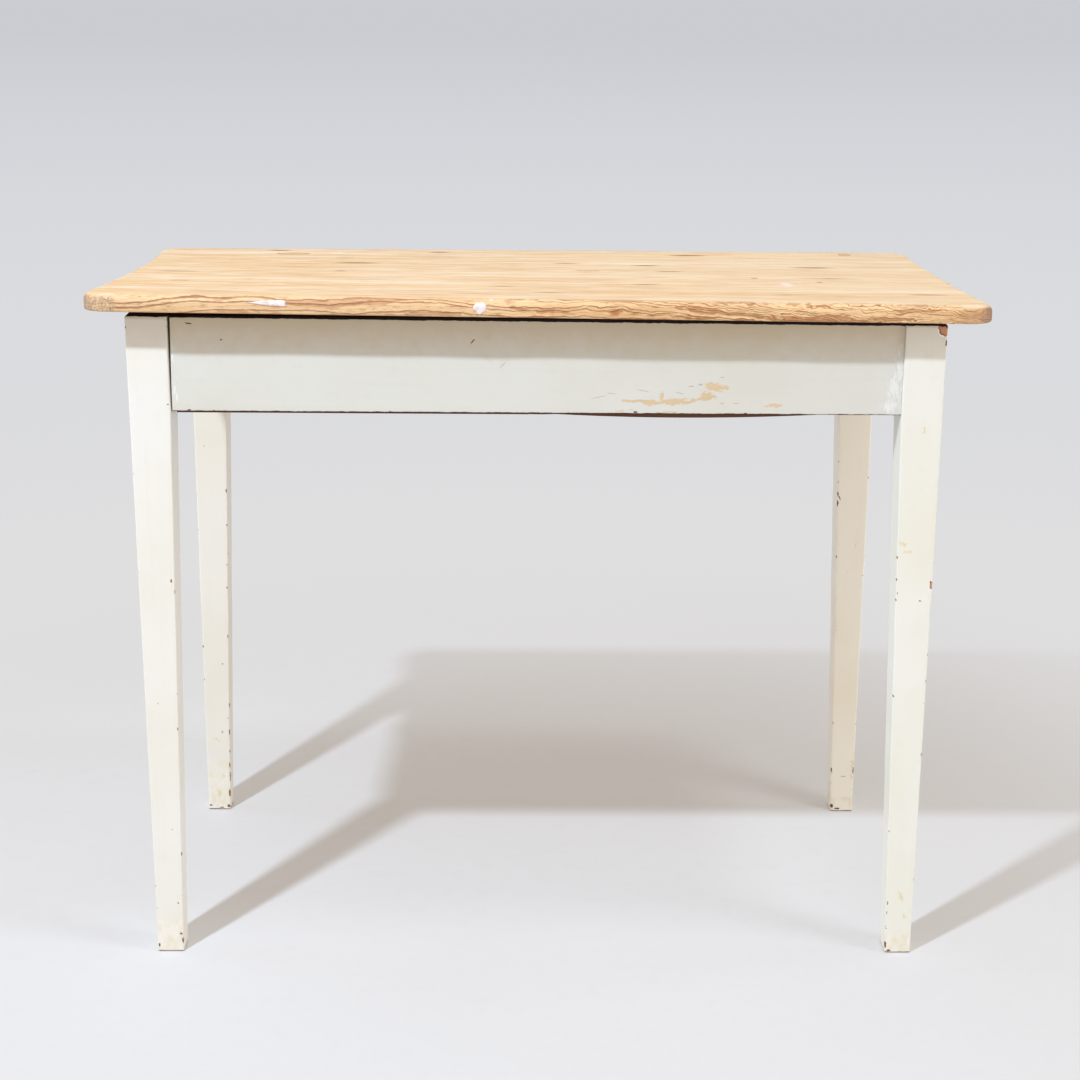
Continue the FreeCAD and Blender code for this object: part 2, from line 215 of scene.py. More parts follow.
class Look(Nodes):
    """A material, with short calls for the nodes that the looks share."""

    def __init__(self, name):
        self.material = bpy.data.materials.new(name)
        super().__init__(self.material)
        self.shader = self.tree.nodes["Principled BSDF"]
        self.place = self.node("TexCoord").outputs["Object"]
        self.x, self.y, self.z = self.node("SeparateXYZ", {0: self.place}).outputs
        self.normal = self.node("NewGeometry").outputs["Normal"]
        self.colour = None

    def times(self, first, second):
        return self.math("MULTIPLY", first, second)

    def push(self, value, by, amount):
        """A value, raised by this amount of another one."""
        return self.math("MULTIPLY_ADD", by, amount, value)

    def vector(self, operation, inputs, output="Vector"):
        return self.node("VectorMath", inputs, operation=operation).outputs[output]

    def join(self, x, y, z):
        return self.node("CombineXYZ", {0: x, 1: y, 2: z}).outputs[0]

    def noise(self, scale, detail=2, stretch=(1, 1, 1), seed=0, place=None, roughness=0.55, output=0):
        start = (seed, 1.7 * seed, -2.3 * seed)
        settings = {"Vector": place or self.place, "Scale": stretch, "Location": start}
        moved = self.node("Mapping", settings).outputs[0]
        settings = {"Vector": moved, "Scale": scale, "Detail": detail, "Roughness": roughness}
        return self.node("TexNoise", settings).outputs[output]

    def grain(self, rates, detail, seed, roughness=0.55, place=None):
        """Drawn-out noise: about this many changes to the metre along each axis."""
        return self.noise(1, detail, rates, seed, place, roughness)

    def each_year(self, phase):
        """A chance number for each growth ring."""
        ring = self.math("FLOOR", phase)
        return self.node("TexWhiteNoise", {"W": ring}, noise_dimensions="1D").outputs[0]

    def map(self, value, low, high, to_low=0, to_high=1):
        settings = {"Value": value, "From Min": low, "From Max": high, "To Min": to_low, "To Max": to_high}
        return self.node("MapRange", settings, interpolation_type="SMOOTHSTEP").outputs[0]

    def tint(self, share, first, second):
        return self.node("Mix", {0: share, 6: first, 7: second}, data_type="RGBA").outputs[2]

    def cover(self, share, colour):
        """Put another colour over the look's own."""
        self.colour = self.tint(share, self.colour, colour)

    def lay(self, tone, value, low, high, most=1):
        """Put a tone over the look's colour, from none at one value to the most at the other."""
        self.cover(self.map(value, low, high, 0, most), tone)

    def ramp(self, value, *stops):
        made = self.node("ValToRGB", {0: value})
        points = made.color_ramp.elements
        while len(points) < len(stops):
            points.new(0.5)
        for point, (at, colour) in zip(points, stops):
            point.position = at
            point.color = shade(*colour) if isinstance(colour, tuple) else (colour, colour, colour, 1)
        return made.outputs[0]

    def edges(self, reach):
        """How near a place is to an arris of its solid."""
        soft = self.node("Bevel", {"Radius": reach}, samples=6).outputs[0]
        return self.map(self.vector("DOT_PRODUCT", {0: soft, 1: self.normal}, "Value"), 0.99, 0.75)

    def stored(self, name):
        return self.node("Attribute", attribute_name=name).outputs["Fac"]

    def shaken(self, amount, scale, seed, stretch=(1, 1, 1), detail=3):
        """The place, moved about by noise, which makes the edge of a mark ragged."""
        drift = self.noise(scale, detail, stretch, seed, roughness=0.6, output=1)
        drift = self.vector("SUBTRACT", {0: drift, 1: (0.5, 0.5, 0.5)})
        drift = self.vector("SCALE", {0: drift, 3: amount})
        return self.vector("ADD", {0: self.place, 1: drift})

    def marks(self, spots, place):
        """How far a place is from the nearest of these oval marks, with 1 at their edge."""
        nearest = None
        for centre, radii, tilt in spots:
            turn = (0, math.radians(-tilt), 0)
            settings = {"Vector": place, "Location": centre, "Rotation": turn, "Scale": radii}
            local = self.node("Mapping", settings, vector_type="TEXTURE").outputs[0]
            reach = self.vector("LENGTH", {0: local}, "Value")
            nearest = reach if nearest is None else self.math("MINIMUM", nearest, reach)
        return nearest

    def finish(self, roughness, height, depth):
        bump = self.node("Bump", {"Height": height, "Distance": depth, "Strength": 1}).outputs[0]
        self.feed(self.shader.inputs["Base Color"], self.colour)
        self.feed(self.shader.inputs["Roughness"], roughness)
        self.feed(self.shader.inputs["Normal"], bump)
        return self.material


# Wood

def wood_grain(look, along, pith, ring, wander, seed):
    """Growth rings about a wandering pith: how dark the ring is, and the fine fibres."""
    length, side, height = (getattr(look, axis) for axis in {"x": "xyz", "y": "yxz", "z": "zxy"}[along])
    turned = look.join(length, side, height)
    lane = look.join(length, seed, 0)
    sway = look.noise(3.1, seed=seed, place=lane)
    rise = look.noise(4.3, seed=seed + 9, place=lane)
    side = look.math("SUBTRACT", side, look.map(sway, 0.2, 0.8, pith[0] - wander, pith[0] + wander))
    height = look.math("SUBTRACT", height, look.map(rise, 0.2, 0.8, pith[1] - wander, pith[1] + wander))
    radius = look.math("SQRT", look.push(look.times(height, height), side, side))
    radius = look.push(radius, look.grain((7, 60, 60), 3, seed + 3, place=turned), 2.2 * ring)
    radius = look.push(radius, length, 0.012)
    phase = look.math("DIVIDE", radius, ring)
    share = look.math("FRACT", phase)
    late = look.ramp(share, (0, 0.05), (0.35, 0.1), (0.74, 0.55), (0.9, 1), (1, 0.05))
    late = look.times(late, look.map(look.each_year(phase), 0, 1, 0.35, 1))
    return late, look.grain((14, 700, 700), 4, seed + 5, 0.65, turned)


def scrubbed_face(look, index, tone, late):
    """The upper face of a board: soft streaks, paler to the far right and back as painted light, with dashes
    and knots.
    """
    band = look.grain((1.5, 26, 26), 3, index + 1)
    streak = look.grain((6, 62, 62), 4, index + 2, 0.62)
    fine = look.grain((16, 260, 260), 4, index + 11, 0.65)
    short = look.grain((13, 96, 96), 3, index + 21, 0.6)
    look.colour = look.ramp(band, (0.3, (248, 226, 194)), (0.47, tone), (0.7, (238, 200, 150)))
    look.lay((222, 172, 116), streak, 0.5, 0.7, 0.75)
    look.lay((250, 232, 206), streak, 0.46, 0.3, 0.55)
    look.lay((212, 166, 114), late, 0.1, 1, 0.3)
    look.lay((210, 160, 106), fine, 0.5, 0.7, 0.6)
    look.lay((214, 164, 110), short, 0.52, 0.7, 0.6)
    look.lay((252, 236, 212), short, 0.48, 0.32, 0.45)
    # Painted light: the face is paler to the right and back, making up for the lamps' light falling off
    # across the top
    look.lay((252, 233, 200), look.push(look.x, look.y, 0.7), -0.45, 0.55, 0.32)
    place = look.shaken(5 * MM, 60, index, (0.3, 1, 1))
    if index in TOP_PALE:
        look.lay((250, 234, 226), look.marks(TOP_PALE[index], place), 1.1, 0.3, 0.8)
    if index in TOP_KNOTS:
        ring = look.marks(TOP_KNOTS[index], place)
        eye = look.ramp(ring, (0, 0.9), (0.18, 0.5), (0.4, 0.15), (0.62, 0.3), (0.8, 0.85), (1, 0.6))
        brown = look.tint(eye, (232, 194, 142), (170, 114, 64))
        look.cover(look.map(ring, 1, 0.85, 0, 0.75), brown)
    frayed = look.push(look.marks(TOP_DASHES[index], place), fine, 2.4)
    look.lay((132, 82, 46), frayed, 2.75, 1.75, 0.9)
    return streak


def worn_edge(look, streak, seed):
    """The rounded edge of the top: growth rings as thin dark lines, with brown patches between."""
    down = look.math("SUBTRACT", look.z, table_height)
    right = look.map(look.x, -0.3, 0.35)
    phase = look.times(down, look.map(right, 0, 1, 1 / (4.4 * MM), 1 / (2.3 * MM)))
    phase = look.push(phase, look.times(look.x, right), 26)
    phase = look.push(phase, look.grain((8, 26, 26), 1, seed + 6), 6)
    flame = look.times(look.grain((52, 60, 60), 2, seed + 12), right)
    phase = look.push(phase, flame, 4)
    curl = look.times(look.grain((75, 130, 130), 1, seed + 17), look.map(look.x, 0.1, 0.3))
    phase = look.push(phase, curl, 3.2)
    phase = look.push(phase, look.grain((60, 240, 240), 2, seed + 13), 0.7)
    share = look.math("FRACT", phase)
    year = look.each_year(phase)
    lines = look.ramp(share, (0, 0.15), (0.12, 0), (0.5, 0.05), (0.74, 0.75), (0.92, 1), (1, 0.15))
    lines = look.times(lines, look.map(year, 0, 0.8, 0.25, 1))
    low_down = look.map(down, -8 * MM, -14 * MM, 0, 0.07)
    blot = look.math("ADD", look.grain((17, 80, 80), 2.5, seed + 9), low_down)
    blot = look.map(look.push(blot, right, 0.03), 0.56, 0.59)
    blot = look.times(blot, look.map(year, 0.35, 0.6))
    blot = look.times(blot, look.map(right, 0, 0.7, 0.5, 0.8))
    strong = look.map(right, 0, 0.7, 0.8, 0.88)
    fleck = look.grain((90, 520, 520), 3, seed + 15, 0.65)
    look.colour = look.tint(right, (237, 199, 152), (244, 204, 152))
    look.lay((222, 172, 116), streak, 0.46, 0.66, 0.6)
    look.cover(blot, (182, 116, 66))
    look.cover(look.times(look.map(lines, 0.05, 1), strong), (134, 74, 36))
    look.lay((150, 98, 56), fleck, 0.52, 0.68, 0.55)
    pale = look.times(look.map(fleck, 0.46, 0.34, 0, 0.6), right)
    look.cover(pale, (248, 216, 164))
    return lines, right


ROUGH_END = ((0.4, (230, 198, 158)), (0.52, (200, 166, 128)), (0.66, (140, 108, 80)))
SMOOTH_END = ((0.4, (212, 176, 132)), (0.52, (202, 165, 122)), (0.66, (188, 151, 110)))


def top_look(index, pith, ring, tone):
    """A scrubbed pine board: pale and streaked above, browner round its edge."""
    look = Look(f"top_pine_{index}")
    late, fibres = wood_grain(look, "x", pith, ring, 9 * MM, index)
    rim = look.stored("rim")
    streak = scrubbed_face(look, index, tone, late)
    upper = look.colour
    lines, right = worn_edge(look, streak, index)
    from_middle = look.math("ABSOLUTE", look.x)
    at_end = look.map(look.push(from_middle, streak, 8 * MM), *end_grain)
    upright = look.map(look.node("SeparateXYZ", {0: look.normal}).outputs[2], 0.85, 0.45)
    scrubbed = look.times(at_end, look.math("SUBTRACT", 1, upright))
    edged = look.times(rim, look.math("SUBTRACT", 1, scrubbed))
    look.colour = look.tint(edged, upper, look.colour)
    look.lay((176, 124, 78), fibres, 0.4, 0.75, 0.2)
    cut = look.times(at_end, look.times(rim, upright))
    cut = look.times(cut, look.map(right, 0.2, 0.8, 0.9, 0.5))
    saw = look.grain((640, 640, 220), 2, index + 7)
    saw = look.times(look.math("ADD", saw, look.grain((220, 220, 800), 2, index + 4)), 0.5)
    end_colour = look.ramp(saw, *(ROUGH_END if index == 1 else SMOOTH_END))
    end_colour = look.tint(look.map(late, 0.1, 0.9, 0, 0.5), end_colour, (138, 100, 66))
    share = look.map(right, 0.2, 0.8, 0, 0.75)
    look.cover(cut, look.tint(share, end_colour, (182, 126, 82)))
    tip = look.times(look.map(look.push(from_middle, saw, 8 * MM), *end_tip), upright)
    tip = look.times(tip, look.map(right, 0.2, 0.8, 0.35, 0.6))
    look.cover(tip, (128, 84, 56))
    raw = look.tint(late, (176, 138, 96), (128, 88, 54))
    look.cover(look.stored("under"), raw)
    relief = look.times(look.math("ADD", lines, look.times(saw, cut)), rim)
    relief = look.push(relief, fibres, 0.35)
    return look.finish(look.map(fibres, 0.2, 0.8, 0.5, 0.68), relief, 0.22 * MM)


def plank_look(name, along, pith, early, late_tone, seed, dirt_and_shade=0.3):
    """Bare pine inside the frame, darkened by age and dirt."""
    look = Look(name)
    late, fibres = wood_grain(look, along, pith, 3.4 * MM, 7 * MM, seed)
    look.colour = look.tint(late, early, late_tone)
    look.lay(dim(late_tone, 0.6), fibres, 0.4, 0.8, 0.35)
    dirt = look.noise(9, 5, seed=seed + 4, roughness=0.65)
    look.lay((92, 62, 42), dirt, 0.45, 0.75, dirt_and_shade)
    relief = look.push(late, fibres, 0.6)
    return look.finish(look.map(fibres, 0.2, 0.8, 0.55, 0.75), relief, 0.2 * MM)


# Paint

def bared_wood_and_shade(look, mottle):
    """Wood that paint has come off: red-brown, darker at the aprons' lower edge, and near black up under the
    top as painted shade in the gap there.
    """
    wood = look.tint(look.map(mottle, 0.4, 0.6), (150, 98, 66), (104, 62, 42))
    wood = look.tint(look.math("COMPARE", look.z, apron_low.z, 2 * MM), wood, (74, 46, 32))
    # Painted shade: near black in the shadowed gap under the top
    return look.tint(look.map(look.z, *gap_shade), wood, (28, 15, 10))


def brushed_paint(look, cream, along, seed):
    """Cream gloss with brush marks along the piece and slow changes of tone."""
    bristle = {"x": (5, 260, 260), "y": (260, 5, 260), "z": (260, 260, 5)}[along]
    brush = look.grain(bristle, 3, seed)
    cloud = look.noise(6, 3, seed=seed + 1)
    mottle = look.noise(70, 4, seed=seed + 2)
    deeper = [value * share for value, share in zip(cream, (0.985, 0.978, 0.955))]
    look.colour = cream
    look.lay(deeper, cloud, 0.35, 0.7)
    look.lay(dim(cream, 0.93), mottle, 0.55, 0.8, 0.2)
    look.lay(dim(cream, 0.94), brush, 0.5, 0.85, 0.18)
    return brush, mottle


def shaded_and_stained(look, mottle, seed, dirt_and_shade, stained):
    """Paint darkened up under the top as painted shade, and yellowed by stains above the floor."""
    if dirt_and_shade:
        # Painted shade: the paint is greyed up under the top, where the top's overhang shades it
        look.lay((212, 196, 166), look.push(look.z, mottle, 30 * MM), *under_top_shade, dirt_and_shade)
    if stained:
        ragged = look.push(look.z, look.noise(45, 5, seed=seed + 8), 0.7 * stained)
        blots = look.map(look.noise(110, 4, (1, 1, 0.6), seed + 13), 0.4, 0.7)
        stain = look.tint(blots, (247, 242, 229), (232, 217, 186))
        look.cover(look.map(ragged, 1.5 * stained, 1.3 * stained, 0, 0.5), stain)


def repainted(look, places, seed):
    """Fresh white strokes of a dry brush over these places."""
    near = look.map(look.marks(places, look.shaken(14 * MM, 60, seed)), 1.2, 0.3)
    wobbly = look.shaken(4 * MM, 90, seed + 1)
    strokes = look.grain((420, 1, 90), 5, seed + 2, 0.7, wobbly)
    look.lay((240, 242, 242), look.push(strokes, near, 0.32), 0.7, 0.84, 0.75)


def marked(look, chip_place, seed, fresh=(), scuffs=(), dents=(), worn=(), peach=()):
    """Marks of use: brushed over again, scuffed, dented, worn through and flaked."""
    if fresh:
        repainted(look, fresh, seed + 4)
    if scuffs:
        rubbed = look.marks(scuffs, look.shaken(9 * MM, 190, seed + 5, detail=5))
        rubbed = look.push(rubbed, look.grain((430, 430, 260), 4, seed + 15, 0.65), 4.5)
        look.lay((232, 210, 160), rubbed, 3.1, 2.6, 0.75)
    if dents:
        dented = look.marks(dents, look.shaken(1.6 * MM, 110, seed + 8))
        look.lay((158, 146, 124), dented, 1, 0.5, 0.6)
    if worn:
        place = look.shaken(5 * MM, 150, seed + 9, (0.6, 1, 1.5), 4)
        rough = look.grain((190, 190, 420), 5, seed + 14, 0.7)
        bared = look.noise(90, 3, (0.2, 1, 1), seed + 9)
        bared = look.tint(bared, (229, 203, 172), (211, 186, 144))
        share = look.map(look.push(look.marks(worn, place), rough, 2.6), 2.3, 2.2)
        look.cover(share, bared)
    if peach:
        flaked = look.marks(peach, chip_place)
        look.lay((250, 246, 240), flaked, 1.35, 1.25)
        look.lay((98, 58, 38), flaked, 1, 0.92)
        look.lay((210, 148, 110), flaked, 0.8, 0.72)


def paint_look(name, cream, along, seed, wear=0.5, lined=False, outward=None, dirt_and_shade=0, stained=0,
               chips=(), **marks):
    """Old chipped paint over pine, all round or on the outward side alone."""
    look = Look(name)
    brush, mottle = brushed_paint(look, cream, along, seed)
    chip_place = look.shaken(2.4 * MM, 330, seed + 3, detail=4)
    shaded_and_stained(look, mottle, seed, dirt_and_shade, stained)
    marked(look, chip_place, seed, **marks)
    corner = look.stored("arris") if lined else look.edges(2.5 * MM)
    corner = look.push(look.noise(130, 4, seed=seed + 7), corner, 0.34)
    bare = look.map(corner, 1.13 - 0.22 * wear, 1.15 - 0.22 * wear)
    if lined:
        ragged = look.push(look.stored("bare"), look.noise(150, 4, seed=seed + 6), 1.5)
        bare = look.math("MAXIMUM", bare, look.map(ragged, 0.75, 1))
    if chips:
        bare = look.math("MAXIMUM", bare, look.map(look.marks(chips, chip_place), 1, 0.8))
    look.cover(bare, bared_wood_and_shade(look, mottle))
    if outward:
        facing = look.vector("DOT_PRODUCT", {0: look.normal, 1: outward}, "Value")
        late = wood_grain(look, along, (0, 640 * MM), 3.6 * MM, 8 * MM, seed)[0]
        pine = look.tint(late, (206, 170, 124), (160, 112, 68))
        look.cover(look.map(facing, 0.35, 0.2), pine)
    relief = look.push(look.times(brush, 0.16), mottle, 0.12)
    relief = look.math("SUBTRACT", relief, bare)
    look.shader.inputs["Specular IOR Level"].default_value = 0.3
    return look.finish(look.map(bare, 0, 1, 0.4, 0.8), relief, 0.35 * MM)


def drop_look():
    """Dried white emulsion, with thin places that let the wood tint it."""
    look = Look("dried_white")
    cloud = look.noise(160, 4, seed=71)
    fine = look.noise(900, 3, seed=72)
    tones = (0.4, (238, 231, 231)), (0.52, (236, 224, 220)), (0.64, (230, 206, 188))
    look.colour = look.ramp(cloud, *tones)
    return look.finish(look.map(fine, 0.3, 0.7, 0.45, 0.65), fine, 0.12 * MM)


def steel_look():
    """Old screws and nails: dull steel with rust in it."""
    look = Look("dull_steel")
    rust = look.noise(700, 5, seed=3, roughness=0.7)
    grain = look.noise(2500, 2, seed=4)
    look.colour = (120, 118, 114)
    look.lay((98, 62, 40), rust, 0.42, 0.62)
    look.feed(look.shader.inputs["Metallic"], look.map(rust, 0.42, 0.62, 0.9, 0.15))
    return look.finish(look.map(rust, 0.35, 0.7, 0.38, 0.8), grain, 0.1 * MM)


# Meshes

def placed(name, data):
    made = bpy.data.objects.new(name, data)
    bpy.context.scene.collection.objects.link(made)
    return made


def piece(name, rings, material, body, node, stored=None, flat=(), faces=None):
    """A visible skin over rings of points, which stands for a solid and moves with its body."""
    mesh = bpy.data.meshes.new(name)
    mesh.from_pydata(rings.reshape(-1, 3).tolist(), [], faces or tube(*rings.shape[:2]))
    work = bmesh.new()
    work.from_mesh(mesh)
    bmesh.ops.recalc_face_normals(work, faces=work.faces[:])
    work.to_mesh(mesh)
    work.free()
    for key, values in (stored or {}).items():
        layer = mesh.attributes.new(key, "FLOAT", "POINT")
        layer.data.foreach_set("value", np.ascontiguousarray(values, dtype=np.float32).ravel())
    mesh.shade_smooth()
    for index in flat:
        mesh.polygons[index].use_smooth = False
    mesh.materials.append(material)
    made = placed(name, mesh)
    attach(made, body)
    if node:
        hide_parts(node)
    return made


def tube(rows, count, capped=True):
    """The faces of a skin over closed rings of points, with one over the first and the last ring."""
    faces = []
    for i in range(rows - 1):
        for j in range(count):
            k = (j + 1) % count
            faces.append((i * count + j, i * count + k, (i + 1) * count + k, (i + 1) * count + j))
    if capped:
        faces += [tuple(range(count)), tuple(range((rows - 1) * count, rows * count))]
    return faces


def rounded_loop(low_u, high_u, low_v, high_v, rounds, sides=(8, 8, 8, 8)):
    """Rings round an oblong with rounded corners, and how near an arris each point is."""
    arc_steps = 5
    low_u, high_u, low_v, high_v = np.broadcast_arrays(low_u, high_u, low_v, high_v)
    corners = zip((low_u, high_u, high_u, low_u), (low_v, low_v, high_v, high_v), (180, 270, 0, 90), rounds)
    arcs = []
    for u, v, start, size in corners:
        angles = np.radians(start + np.linspace(0, 90, arc_steps))
        cosines, sines = np.cos(angles), np.sin(angles)
        size = np.broadcast_to(size, u.shape)[:, None]
        across = u[:, None] + size * (cosines - np.sign(cosines[arc_steps // 2]))
        along = v[:, None] + size * (sines - np.sign(sines[arc_steps // 2]))
        arcs.append(np.stack([across, along], axis=2))
    parts = []
    near = []
    for k in range(4):
        first = arcs[k][:, -1:]
        last = arcs[(k + 1) % 4][:, :1]
        shares = (np.arange(1, sides[k] + 1) / (sides[k] + 1))[None, :, None]
        line = first + (last - first) * shares
        reach = np.linalg.norm(last - first, axis=2) * np.minimum(shares, 1 - shares)[:, :, 0]
        parts += [arcs[k], line]
        near += [np.ones(arcs[k].shape[:2]), np.exp(-reach / (2.5 * MM))]
    return np.concatenate(parts, axis=1), np.concatenate(near, axis=1)


# Table top

def inset(x, y):
    """How far inside the outline of the top a point lies."""
    past_x = np.abs(x) - (half_length - corner_radius)
    past_y = np.abs(y) - (half_depth - corner_radius)
    outside = np.hypot(np.maximum(past_x, 0), np.maximum(past_y, 0))
    return np.maximum(corner_radius - outside - np.minimum(np.maximum(past_x, past_y), 0), 0)


def fall(inside, radius):
    """How far a rounded edge has dropped at this distance inside the outline."""
    share = 1 - np.clip(inside / radius, 0, 1)
    return radius * (1 - np.sqrt(1 - share * share))


def lift(x, y):
    """How far the top has risen at a point, most at its front left corner."""
    return corner_lift * (0.5 - x / (2 * half_length)) * (0.5 - y / (2 * half_depth))


def steps_in(radius, count):
    return radius * (1 - np.cos(np.linspace(0, math.pi / 2, count)))


def shares_across(rounded_first, rounded_last):
    """Places across a board, as shares of its width, close together at a rounded edge."""
    rounded = np.concatenate([steps_in(upper_round, 10), [12 * MM, 17 * MM]])
    plain = np.array([0, seam_reach, 3 * MM])
    first = rounded if rounded_first else plain
    last = rounded if rounded_last else plain
    middle = np.linspace(first[-1], board_width - last[-1], 16)[1:-1]
    return np.concatenate([first, middle, board_width - last[::-1]]) / board_width


def stations_along():
    """Places along a board, close together at its ends."""
    near = np.concatenate([steps_in(upper_round, 9), np.linspace(10.5 * MM, corner_radius, 9)])
    middle = np.linspace(-half_length + corner_radius, half_length - corner_radius, 230)[1:-1]
    return np.concatenate([-half_length + near, middle, half_length - near[::-1]])


def board_end(at, wide, count):
    """The faces over an end of a board, in upright strips."""
    upper = [at + 2 * wide + 1 - k for k in range(wide)]
    faces = []
    for k in range(wide - 1):
        face = [at + k, at + k + 1, upper[k + 1], upper[k]]
        if k == 0:
            face += [at + count - 2, at + count - 1]
        if k == wide - 2:
            face[2:2] = [at + wide, at + wide + 1]
        faces.append(tuple(face))
    return faces


def top_board(index, material):
    name = f"top_board_{index}"
    front = -half_depth + (index - 1) * board_width
    is_front = index == 1
    is_back = index == board_count
    x = stations_along()[:, None]
    share = shares_across(is_front, is_back)[None, :]
    past = np.clip(np.abs(x) - (half_length - corner_radius), 0, corner_radius)
    cut = corner_radius - np.sqrt(corner_radius ** 2 - past ** 2)
    low_y = front + is_front * cut
    high_y = front + board_width - is_back * cut
    y = low_y + share * (high_y - low_y)
    x = x + 0 * y
    inside = inset(x, y)
    worn = upper_round * (1 + 0.08 * ripple(x, 140 * MM, index) + 0.03 * ripple(x, 37 * MM, index + 20))
    upper = table_height - fall(inside, worn) - face_wander * (1 + ripple(x + 3 * y, 90 * MM, index + 40))
    lower = under_top + fall(inside, lower_round)
    for edge, plain in ((front, not is_front), (front + board_width, not is_back)):
        if plain:
            upper -= seam_depth * np.clip(1 - np.abs(y - edge) / seam_reach, 0, 1)
    hollow = np.where(x < 0, left_hollow, right_hollow) * (1 - (y / half_depth) ** 2)
    x_true = x - np.sign(x) * hollow * ease(0.6, 1, np.abs(x) / half_length)
    rise = lift(x, y) + is_back * back_cup * share ** 2
    bottom_row = np.stack([x_true, y, lower + rise], axis=2)
    top_row = np.stack([x_true, y, upper + rise], axis=2)
    thirds = np.array([1 / 3, 2 / 3])[None, :, None]
    last_band = bottom_row[:, -1:] + (top_row[:, -1:] - bottom_row[:, -1:]) * thirds
    first_band = top_row[:, :1] + (bottom_row[:, :1] - top_row[:, :1]) * thirds
    rings = np.concatenate([bottom_row, last_band, top_row[:, ::-1], first_band], axis=1)
    if is_front or is_back:
        side = -1 if is_front else 1
        near_edge = np.clip(1 - inset(rings[:, :, 0], rings[:, :, 1]) / (6 * MM), 0, 1)
        wave = edge_wander * (0.6 * ripple(rings[:, :, 0], 210 * MM, index + 60) - 1.2)
        rings[:, :, 1] += side * near_edge * wave
    rows, count = rings.shape[:2]
    wide = share.shape[1]
    faces = tube(rows, count, False) + board_end(0, wide, count) + board_end((rows - 1) * count, wide, count)
    plain_rim = 1 - ease(2 * MM, 15 * MM, inside)
    band = np.ones((rows, 2))
    rim = np.concatenate([plain_rim, band, plain_rim[:, ::-1], band], axis=1)
    below = ease(0.5 * MM, 3 * MM, inside)
    under = np.concatenate([below, 0 * band, 0 * below, 0 * band], axis=1)
    stored = {"rim": rim, "under": under}
    return piece(f"{name}_scrubbed", rings, material, "frame", name, stored, faces=faces)


def on_top(*rows):
    """Oval marks in the upper face of the top: place and size in millimetres."""
    return [
        ((x * MM, y * MM, table_height), (long * MM / 2, wide * MM / 2, 12 * MM), 0)
        for x, y, long, wide in rows
    ]


TOP_DASHES = {
    1: on_top((14, -190, 34, 4.5), (424, -165, 44, 5), (-330, -216, 48, 3), (274, -182, 34, 3)),
    2: on_top((-40, -138, 26, 4.5), (120, -106, 32, 6), (320, -64, 7, 6), (-190, -84, 48, 3)),
    3: on_top((-228, -2, 14, 6), (155, 28, 26, 5), (249, -33, 7, 6), (342, -29, 66, 4), (-412, -24, 44, 6)),
    4: on_top((-216, 88, 46, 9), (131, 88, 28, 7), (333, 82, 42, 8), (37, 104, 28, 5)),
    5: on_top((-325, 228, 28, 8), (-123, 220, 26, 7), (196, 205, 42, 9)),
}
TOP_KNOTS = {
    2: on_top((-395, -120, 26, 12)),
    3: on_top((60, 30, 30, 12)),
    4: on_top((-235, 146, 24, 12)),
    5: on_top((-304, 192, 46, 30), (395, 226, 18, 26)),
}
TOP_PALE = {2: on_top((279, -87, 18, 42)), 5: on_top((-250, 205, 26, 18))}


def edge_place(x, down):
    """A point this far down the rounded front edge of the top, and its outward direction."""
    angle = np.clip(down / upper_round, 0, math.pi / 2)
    flat = np.minimum(down, 0)
    straight = np.maximum(down - upper_round * math.pi / 2, 0)
    y = -half_depth + upper_round * (1 - np.sin(angle)) - flat
    z = table_height - upper_round * (1 - np.cos(angle)) - straight
    point = np.stack([x, y, z + lift(x, y)], axis=-1)
    outward = np.stack([0 * x, -np.sin(angle), np.cos(angle)], axis=-1)
    return point, outward


def paint_drop(name, x, down, long, tall, taper, material, seed):
    """A dried smear of paint on the front edge: a thin lumpy skin with a ragged outline."""
    thickness = 0.35 * MM
    sunk = 0.9 * MM
    angles = np.linspace(0, 2 * math.pi, 40, endpoint=False)
    ragged = 1 + 0.12 * ripple(angles, 1.9, seed) + 0.08 * ripple(angles, 0.6, seed + 1)
    ragged[-1] = (ragged[0] + ragged[-2]) / 2
    reach = np.linspace(1, 0.08, 9)[:, None]
    blunt = 1 - 0.5 * taper
    along = np.where(np.cos(angles) > 0, np.abs(np.cos(angles)) ** blunt, np.cos(angles)) * ragged
    across = np.sign(np.sin(angles)) * np.abs(np.sin(angles)) ** blunt * ragged
    across = across * (1 - taper * np.clip(0.5 - 0.5 * along, 0, 1))
    spread_x = x + reach * along * long / 2
    spread_down = down + reach * across * tall / 2
    point, outward = edge_place(spread_x, spread_down)
    lumps = 0.8 + 0.25 * ripple(spread_x * 900 + spread_down * 700, 1, seed + 2)
    swell = thickness * (1 - reach ** 6) * lumps
    rings = point + outward * (swell - sunk * (reach > 0.99))[:, :, None]
    return piece(name, rings, material, "frame", None)


# Legs and aprons

def bare_above(x, z, wander):
    """How far above the ragged upper edge of the paint a point is, in millimetres."""
    line = paint_line - paint_line_slope * x / (2 * half_length)
    return (z - line) / MM + wander


def painted(name, x, y, z, arris, bare, material):
    """A leg or an apron with flat ends, in place of its solid."""
    rings = np.stack([x, y, z], axis=2)
    stored = {"arris": arris, "bare": bare}
    return piece(f"{name}_painted", rings, material, "frame", name, stored, (-1, -2))


def leg_widths(name):
    """The width of a leg at its top and at its foot, and the bevel round its crown."""
    low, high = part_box(name)
    points = np.array([vertex.co for vertex in nodes[name].data.vertices])
    foot = np.ptp(points[points[:, 2] < low.z + MM, 0])
    crown = np.ptp(points[points[:, 2] > high.z - MM, 0])
    size = high.x - low.x
    return size, foot, size - crown


def lean(name, z):
    """How far to the right a leg has moved at this height."""
    at_top, at_foot = leg_plans[name][:2]
    return at_foot + (at_top - at_foot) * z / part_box(name)[1].z


